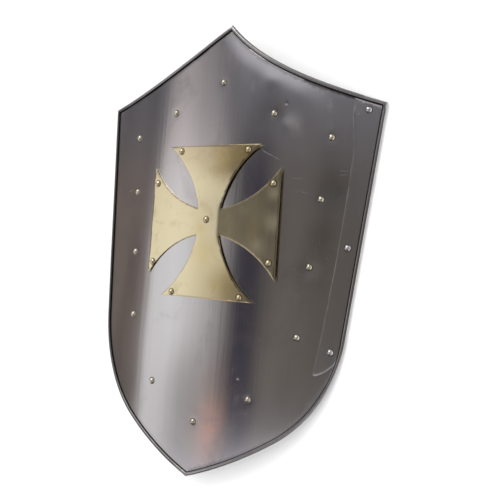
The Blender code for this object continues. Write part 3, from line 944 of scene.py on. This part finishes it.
def cross_rise(place):
    """How far the cross stands over the even curve that it would have if it were quite soft."""
    x, y = Matrix.Rotation(-CROSS_TURN, 2) @ (place - flat(CROSS_SHIFT, CROSS_DEPTH))
    crease_rise = left_rise(CROSS_CREASE)
    if x < CROSS_CREASE:
        level = left_rise(x)
    else:
        share = (x - CROSS_CREASE) / (CROSS_RIVET_REACH - CROSS_CREASE)
        level = crease_rise + (RIGHT_END_LIFT - crease_rise) * share
        level += RIGHT_STIFFNESS * (x - CROSS_CREASE) * (x - CROSS_RIVET_REACH)
    upright = left_rise(x)
    outer = UPRIGHT_STIFFNESS * x * x + TIP_STIFFNESS * max(0.0, x - TIP_BEND_FROM) ** 2
    upright += (outer - upright) * soft_step(abs(y), *STIFF_SPAN)
    lift = (UPPER_LIFT if y > 0 else LOWER_LIFT) * soft_step(x, *TILT_SPAN)
    upright += lift * soft_step(abs(y), *LIFT_SPAN)
    share = soft_step(abs(y) - abs(x), *ARM_BLEND)
    return level + (upright - level) * share


first_tips = quarter_turns(CROSS_END_HALF_WIDTH, CROSS_REACH)
last_tips = quarter_turns(-CROSS_END_HALF_WIDTH, CROSS_REACH)
necks = quarter_turns(-CROSS_NECK, CROSS_NECK)
cross_outline = []
for arm in range(4):
    cross_outline += arc(first_tips[arm], last_tips[arm], 0.0, 60)
    cross_outline += arc(last_tips[arm], necks[arm], CROSS_SIDE_HOLLOW, 42)
    cross_outline += arc(necks[arm], first_tips[arm - 3], CROSS_SIDE_HOLLOW, 42)
cross_places = [cross_place(*CENTRE_RIVET)]
for arm, (end_inset, *side_insets) in enumerate(ARM_RIVET_INSETS):
    for side, side_inset in zip((1, -1), side_insets):
        aside = side * (CROSS_END_HALF_WIDTH - side_inset)
        cross_places.append(quarter_turns(aside, CROSS_REACH - end_inset)[arm])
cross_mesh, _ = fill_sheet(cross_outline, cross_places, CROSS_STEP)
cross_height = SHEET / 2 + CROSS_STANDOFF + CROSS_SHEET / 2
haze_layer = cross_mesh.verts.layers.float["haze"]
for vert in cross_mesh.verts:
    x, y = vert.co.xy
    vert[haze_layer] = cloud(x, y, CROSS_CLOUDS)
    ripple = CROSS_RIPPLE * noise.noise(Vector((x * 30.0, y * 30.0, 8.0)))
    vert.co = bent(x, y, cross_height + cross_rise(Vector((x, y))) + ripple)
thicken(cross_mesh, CROSS_SHEET)
round_edges(cross_mesh, CROSS_EDGE_ROUND)


def old_brass(name, colour, dull, brown, roughness, tarnish):
    """Polished brass that has begun to tarnish: dull clouds, brown spots, scratches."""
    material, tree, shader, place = new_material(name)
    clouds = placed(tree, cloud_group, {"Vector": place, "Scale": 26.0, "Cover": 0.12})
    spots = placed(tree, cloud_group, {"Vector": place, "Scale": 120.0, "Cover": 0.00})
    scratches = hair_scratches(
        tree, place, (0.9, 0.016, 0.0034, 0.05), (2.6, 0.022, 0.0050, 0.035)
    )
    lines = placed(tree, line_group, {"Vector": place, "Across": 380.0, "Along": 9.0})
    tone = blend(tree, calc(tree, "MULTIPLY", clouds, tarnish), colour, dull)
    tone = blend(tree, calc(tree, "MULTIPLY", spots, tarnish * 0.8), tone, brown)
    ragged = between(tree, clouds, 0.0, 1.0, 0.75, 1.25)
    patches = calc(tree, "MULTIPLY", layer(tree, "haze"), ragged)
    stained = calc(tree, "MULTIPLY", patches, -1.0, clamp=True)
    hazy = calc(tree, "MULTIPLY", patches, 1.0, clamp=True)
    tone = blend(tree, stained, tone, BRASS_WARM)
    tone = blend(tree, calc(tree, "MULTIPLY", hazy, 0.3), tone, BRASS_BRIGHT)
    tone = blend(tree, calc(tree, "MULTIPLY", scratches, 0.4), tone, BRASS_BRIGHT)
    # Painted shadow round the cross's rivets, from the mesh's layer
    tone = blend(tree, calc(tree, "MULTIPLY", layer(tree, "painted_shade"), 0.9), tone, BRASS_PAINTED_SHADE)
    tree.links.new(tone, shader.inputs["Base Color"])
    rough = calc(tree, "MULTIPLY_ADD", clouds, 0.06, roughness)
    rough = calc(tree, "MULTIPLY_ADD", spots, 0.10, rough)
    rough = calc(tree, "MULTIPLY_ADD", hazy, 0.15, rough)
    rough = calc(tree, "MULTIPLY_ADD", lines, 0.05, rough, clamp=True)
    tree.links.new(rough, shader.inputs["Roughness"])
    shader.inputs["Metallic"].default_value = 1.0
    relief = bump(tree, lines, 1.0, 0.000008)
    relief = bump(tree, scratches, 0.4, -0.00003, relief)
    tree.links.new(relief, shader.inputs["Normal"])
    return material


cross_brass = old_brass("cross_brass", BRASS, BRASS_DULL, BRASS_BROWN, 0.13, 0.55)
cross = finished("brass_cross", cross_mesh, cross_brass)
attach(cross, "root")
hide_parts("cross")


# The rivets. Short pins with a domed head in front, set through punched holes and hammered flat
# behind: brass ones round the field and in the cross, steel ones down the strip.
HEAD_RADIUS = 0.0044
HEAD_HEIGHT = 0.0033
HEAD_SINK = 0.0002
HEAD_UNDERCUT = 0.93
HEAD_CHAMFER = 0.00005
HEAD_LEAN = 0.035
HAMMER_DENT = 0.018
RIVET_GAP = 0.0003
SHANK_RADIUS = 0.0020
TAIL_GAP = 0.0001
TAIL_CHAMFER = 0.0001
TAIL_RADIUS = 0.0031
TAIL_WAIST = 0.97
TAIL_WAIST_HEIGHT = 0.0007
TAIL_FACE_RADIUS = 0.0025
TAIL_FACE_RISE = 0.00006
TAIL_HEIGHT = 0.0014
RIVET_ROUND = 28
DOME_STEPS = 9
chance = random.Random(11)

RIVET_STEEL = (0.80, 0.79, 0.78, 1.0)
FIELD_RIVET_BRASS = (0.88, 0.82, 0.64, 1.0)
CROSS_RIVET_BRASS = (0.90, 0.79, 0.51, 1.0)
RIVET_DULL = (0.66, 0.60, 0.38, 1.0)


def rivet(name, place, seat, material, node, slot):
    """A rivet through the sheets at a place, its head on a seat height over the plate."""
    base = seat - HEAD_SINK
    tail = -SHEET / 2 - TAIL_GAP
    dome = (HEAD_RADIUS ** 2 + HEAD_HEIGHT ** 2) / (2 * HEAD_HEIGHT)
    dome_turn = 2 * atan2(HEAD_HEIGHT, HEAD_RADIUS)
    section = []
    for step in range(DOME_STEPS + 1):
        angle = dome_turn * step / DOME_STEPS
        section.append((dome * sin(angle), base + HEAD_HEIGHT - dome * (1 - cos(angle))))
    section += [
        (HEAD_RADIUS * HEAD_UNDERCUT, base - HEAD_CHAMFER),
        (SHANK_RADIUS, base - HEAD_CHAMFER),
        (SHANK_RADIUS, tail),
        (TAIL_RADIUS, tail - TAIL_CHAMFER),
        (TAIL_RADIUS * TAIL_WAIST, tail - TAIL_WAIST_HEIGHT),
        (TAIL_FACE_RADIUS, tail - TAIL_HEIGHT),
        (TAIL_FACE_RADIUS * 0.5, tail - TAIL_HEIGHT - TAIL_FACE_RISE),
        (0.0, tail - TAIL_HEIGHT),
    ]
    lean = Vector((chance.uniform(-1, 1), chance.uniform(-1, 1))) * HEAD_LEAN
    mesh = bmesh.new()
    rows = []
    for radius, height in section:
        if radius < 1e-6:
            rows.append([mesh.verts.new((0.0, 0.0, height))])
            continue
        row = []
        for k in range(RIVET_ROUND):
            angle = 2 * pi * k / RIVET_ROUND
            spot = Vector((cos(angle), sin(angle), height * 400 + place.x * 90))
            dent = 1 + HAMMER_DENT * noise.noise(spot)
            reach = radius * dent
            row.append(mesh.verts.new((reach * cos(angle), reach * sin(angle), height)))
        rows.append(row)
    for upper, lower in zip(rows, rows[1:]):
        for k in range(RIVET_ROUND):
            ends = [upper[k % len(upper)], upper[(k + 1) % len(upper)]]
            ends += [lower[(k + 1) % len(lower)], lower[k % len(lower)]]
            mesh.faces.new(list(dict.fromkeys(ends)))
    bmesh.ops.recalc_face_normals(mesh, faces=mesh.faces[:])
    for vert in mesh.verts:
        x, y, height = vert.co
        if height > 0:
            height += lean.x * x + lean.y * y
        vert.co = bent(place.x + x, place.y + y, height + plate_wave(place.x, place.y))
    item = finished(name, mesh, material, radians(50.0))
    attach(item, "root")
    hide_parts(node)


field_brass = old_brass(
    "field_rivet_brass", FIELD_RIVET_BRASS, RIVET_DULL, BRASS_BROWN, 0.19, 0.30
)
cross_rivet_brass = old_brass(
    "cross_rivet_brass", CROSS_RIVET_BRASS, RIVET_DULL, BRASS_BROWN, 0.19, 0.35
)
rivet_steel = polished_steel("rivet_steel", RIVET_STEEL, STRIP_STEEL, 0.21, 0.05)
for number, place in enumerate(field_places, start=1):
    rivet(
        f"brass_field_rivet_{number:02d}", place, SHEET / 2 + RIVET_GAP, field_brass,
        f"field_rivet_{number:02d}", "brass",
    )
for number, place in enumerate(cross_places, start=1):
    rivet(
        f"brass_cross_rivet_{number:02d}", place,
        cross_height + cross_rise(place) + CROSS_SHEET / 2 + RIVET_GAP,
        cross_rivet_brass, f"cross_rivet_{number:02d}", "brass",
    )
for number, place in enumerate(strip_places, start=1):
    rivet(
        f"steel_strip_rivet_{number:02d}", place, strip_height + STRIP_SHEET / 2 + RIVET_GAP,
        rivet_steel, f"strip_rivet_{number:02d}", "strip_steel",
    )


# The floor. A wide level sheet, painted in a plain pale matt grey, that the shield lies on with the
# lowest of its rim. It is no part of the shield.
FLOOR_HALF = 6.0
FLOOR_PAINT = (0.80, 0.80, 0.80, 1.0)
FLOOR_ROUGHNESS = 0.9
floor_mesh = bmesh.new()
floor_corners = [
    floor_mesh.verts.new((x * FLOOR_HALF, y * FLOOR_HALF, 0.0))
    for x, y in ((-1, -1), (1, -1), (1, 1), (-1, 1))
]
floor_mesh.faces.new(floor_corners)
floor_paint, _, floor_shader, _ = new_material("floor_paint")
floor_shader.inputs["Base Color"].default_value = FLOOR_PAINT
floor_shader.inputs["Roughness"].default_value = FLOOR_ROUGHNESS
floor = finished("floor", floor_mesh, floor_paint)


# The light. A long soft pale panel over the left side, a dark gap beside it, dim warm walls all
# round, and one soft lamp high up beyond the peak, which whitens the floor and lights the rivets.
# Each row of stops gives how bright the panel is at angles round the shield, in degrees.
PANEL = (0.92, 0.91, 0.93, 1.0)
TOP_PANEL = (0.90, 0.82, 0.83, 1.0)
LEFT_WALL = (0.165, 0.136, 0.123, 1.0)
WALL = (0.155, 0.138, 0.124, 1.0)
TOP_WALL = (0.155, 0.150, 0.168, 1.0)
RIGHT_WALL = (0.118, 0.104, 0.092, 1.0)
GAP = (0.035, 0.032, 0.052, 1.0)
HAZE = (0.72, 0.71, 0.77, 1.0)
TERRACOTTA = (0.92, 0.47, 0.35, 1.0)
CEILING = (0.92, 0.92, 0.94, 1.0)
CEILING_SHADE = (0.22, 0.21, 0.22, 1.0)
BACKDROP = (1.0, 1.0, 1.0, 1.0)
LAMP = (1.0, 0.99, 0.96, 1.0)
LAMP_WAY = Vector((-0.34, 0.62, 0.72)).normalized()
LAMP_RIM = cos(radians(14.0))
LAMP_CORE = cos(radians(5.0))
LAMP_STRENGTH = 4.5
FILL_STRENGTH = 0.45
KEY_STRENGTH = 0.8
KEY_ANGLE = radians(40.0)
PANEL_STOPS = (
    (-44.0, 1.0), (-41.0, 0.90), (-38.0, 0.78), (-35.0, 0.65), (-32.0, 0.53), (-29.5, 0.42),
    (-27.5, 0.30), (-25.0, 0.12), (-22.5, 0.0),
)
LOW_PANEL_STOPS = (
    (-57.0, 0.92), (-50.0, 0.84), (-46.0, 0.63), (-43.0, 0.45), (-39.0, 0.34), (-36.0, 0.26),
    (-31.0, 0.25), (-28.0, 0.17), (-25.0, 0.05), (-22.5, 0.0),
)
EDGE_LEAN = 0.40
LEAN = 0.62
FIRST_STOP = -60.0
STOP_SPAN = 45.0

# The middle and the reach of the reddish patch, in degrees aside and as a height
PATCH_ASIDE = -28.0
PATCH_WIDTH = 6.5
PATCH_UP = -0.250
PATCH_HEIGHT = 0.030


def brightness(tree, angle, stops):
    """How bright the panel is at an angle, by its row of stops."""
    low, high = radians(FIRST_STOP), radians(FIRST_STOP + STOP_SPAN)
    share = add(tree, "ShaderNodeMapRange", {"Value": angle, 1: low, 2: high}).outputs["Result"]
    made = add(tree, "ShaderNodeValToRGB", {"Fac": share})
    ramp = made.color_ramp
    ramp.elements.remove(ramp.elements[1])
    for index, (degrees, value) in enumerate(stops):
        spot = (degrees - FIRST_STOP) / STOP_SPAN
        element = ramp.elements[0] if index == 0 else ramp.elements.new(spot)
        element.position = spot
        element.color = (value, value, value, 1.0)
    return made.outputs["Color"]


world = bpy.data.worlds.new("studio")
bpy.context.scene.world = world
world.use_nodes = True
sky = world.node_tree
sky.nodes.clear()
direction = add(sky, "ShaderNodeTexCoord").outputs["Generated"]
parts = add(sky, "ShaderNodeSeparateXYZ", {0: direction})
aside = calc(sky, "ARCTAN2", parts.outputs["X"], parts.outputs["Z"])
upwards = parts.outputs["Y"]
raised = calc(sky, "MAXIMUM", upwards, 0.0)
panel_edge = calc(sky, "MULTIPLY_ADD", raised, -EDGE_LEAN, aside)
panel_left = between(sky, panel_edge, radians(-62.0), radians(-57.0))
fall_angle = calc(sky, "MULTIPLY_ADD", raised, LEAN, aside)
panel_right = blend(
    sky, between(sky, upwards, -0.205, -0.115, 1.0, 0.0),
    brightness(sky, fall_angle, PANEL_STOPS), brightness(sky, fall_angle, LOW_PANEL_STOPS),
)
panel = calc(sky, "MULTIPLY", panel_left, panel_right)
panel = calc(sky, "MULTIPLY", panel, between(sky, upwards, 0.06, 0.205, 1.0, 0.5))
low_fade = between(sky, upwards, -0.60, -0.42)
panel = calc(sky, "MULTIPLY", panel, low_fade)
wall = blend(sky, between(sky, aside, radians(-60.0), radians(-20.0)), LEFT_WALL, WALL)
wall = blend(sky, between(sky, aside, radians(1.0), radians(6.0)), wall, RIGHT_WALL)
wall = blend(sky, between(sky, upwards, 0.07, 0.16), wall, TOP_WALL)
mottle = add(
    sky, "ShaderNodeTexNoise", {"Vector": direction, "Scale": 5.5, "Detail": 3.0, "Roughness": 0.55}
)
streaks = add(
    sky, "ShaderNodeTexNoise", {"W": aside, "Scale": 22.0, "Detail": 3.0, "Roughness": 0.7},
    noise_dimensions="1D",
)
uneven = between(sky, mottle.outputs["Fac"], 0.30, 0.70, 0.70, 1.28)
wall = vector(sky, "MULTIPLY", wall, uneven)
pale = blend(sky, between(sky, upwards, 0.04, 0.12), PANEL, TOP_PANEL)
wall = blend(sky, panel, wall, pale)
streaky = between(sky, streaks.outputs["Fac"], 0.25, 0.75, 0.86, 1.12)
wall = vector(sky, "MULTIPLY", wall, streaky)
gap_left = between(sky, aside, radians(-26.5), radians(-21.5))
gap_right = between(sky, aside, radians(-15.5), radians(-11.5), 1.0, 0.0)
gap_top = between(sky, upwards, 0.09, 0.13, 1.0, 0.0)
gap = calc(sky, "MULTIPLY", calc(sky, "MULTIPLY", gap_left, gap_right), gap_top)
wall = blend(sky, gap, wall, GAP)
haze_top = calc(
    sky, "MULTIPLY", between(sky, upwards, 0.215, 0.27, 0.0, 0.75),
    between(sky, aside, radians(-36.0), radians(-24.0)),
)
haze_foot = calc(sky, "MULTIPLY", between(sky, upwards, -0.298, -0.258, 0.95, 0.0), low_fade)
wall = blend(sky, calc(sky, "MAXIMUM", haze_top, haze_foot), wall, HAZE)
ceiling = blend(sky, between(sky, aside, radians(-55.0), radians(40.0)), CEILING, CEILING_SHADE)
wall = blend(sky, between(sky, upwards, 0.38, 0.52), wall, ceiling)
patch_aside = calc(sky, "MULTIPLY_ADD", aside, 1.0 / radians(PATCH_WIDTH), -PATCH_ASIDE / PATCH_WIDTH)
patch_up = calc(sky, "MULTIPLY_ADD", upwards, 1.0 / PATCH_HEIGHT, -PATCH_UP / PATCH_HEIGHT)
patch_place = add(sky, "ShaderNodeCombineXYZ", {"X": patch_aside, "Y": patch_up}).outputs[0]
patch_away = vector(sky, "LENGTH", patch_place)
wall = blend(sky, between(sky, patch_away, 0.35, 1.15, 0.95, 0.0), wall, TERRACOTTA)
ray = add(sky, "ShaderNodeLightPath").outputs
seen = calc(sky, "MAXIMUM", ray["Is Camera Ray"], ray["Is Diffuse Ray"])
wall = blend(sky, seen, wall, BACKDROP)
lamp = vector(sky, "DOT_PRODUCT", direction, LAMP_WAY)
lamp_shape = between(sky, lamp, LAMP_RIM, LAMP_CORE)
lamp_seen = calc(sky, "MULTIPLY", lamp_shape, calc(sky, "SUBTRACT", 1.0, seen))
wall = blend(sky, lamp_seen, wall, LAMP)
strength = calc(sky, "MULTIPLY_ADD", ray["Is Diffuse Ray"], FILL_STRENGTH, 1.0)
strength = calc(sky, "MULTIPLY_ADD", lamp_seen, LAMP_STRENGTH, strength)
light = add(sky, "ShaderNodeBackground", {"Color": wall, "Strength": strength})
add(sky, "ShaderNodeOutputWorld", {"Surface": light.outputs[0]})

key = bpy.data.lights.new("key", "SUN")
key.energy = KEY_STRENGTH
key.angle = KEY_ANGLE
key_item = bpy.data.objects.new("key", key)
key_item.rotation_euler = LAMP_WAY.to_track_quat("Z", "Y").to_euler()
key_item.visible_glossy = False
bpy.context.scene.collection.objects.link(key_item)


# The camera. It looks down on the shield from over its right side, square to its length and turned
# a little, from about a metre away. Its place is given along its own axes, from the sheet's middle.
VIEW_PITCH = -0.0093
VIEW_SWING = -0.5351
VIEW_ROLL = -0.0881
VIEW_PLACE = (0.05927, 0.00097, 1.1037)
LENS = 54.64
SENSOR_WIDTH = 36.0
turned = Matrix.Rotation(VIEW_ROLL, 4, "Z") @ Matrix.Rotation(VIEW_PITCH, 4, "X")
turned = turned @ Matrix.Rotation(VIEW_SWING, 4, "Y")
camera_data = bpy.data.cameras.new("camera")
camera_data.lens = LENS
camera_data.sensor_width = SENSOR_WIDTH
camera = bpy.data.objects.new("camera", camera_data)
camera.matrix_world = laid @ turned.transposed() @ Matrix.Translation(VIEW_PLACE)
bpy.context.scene.collection.objects.link(camera)
bpy.context.scene.camera = camera
bpy.context.scene.view_settings.view_transform = "Standard"
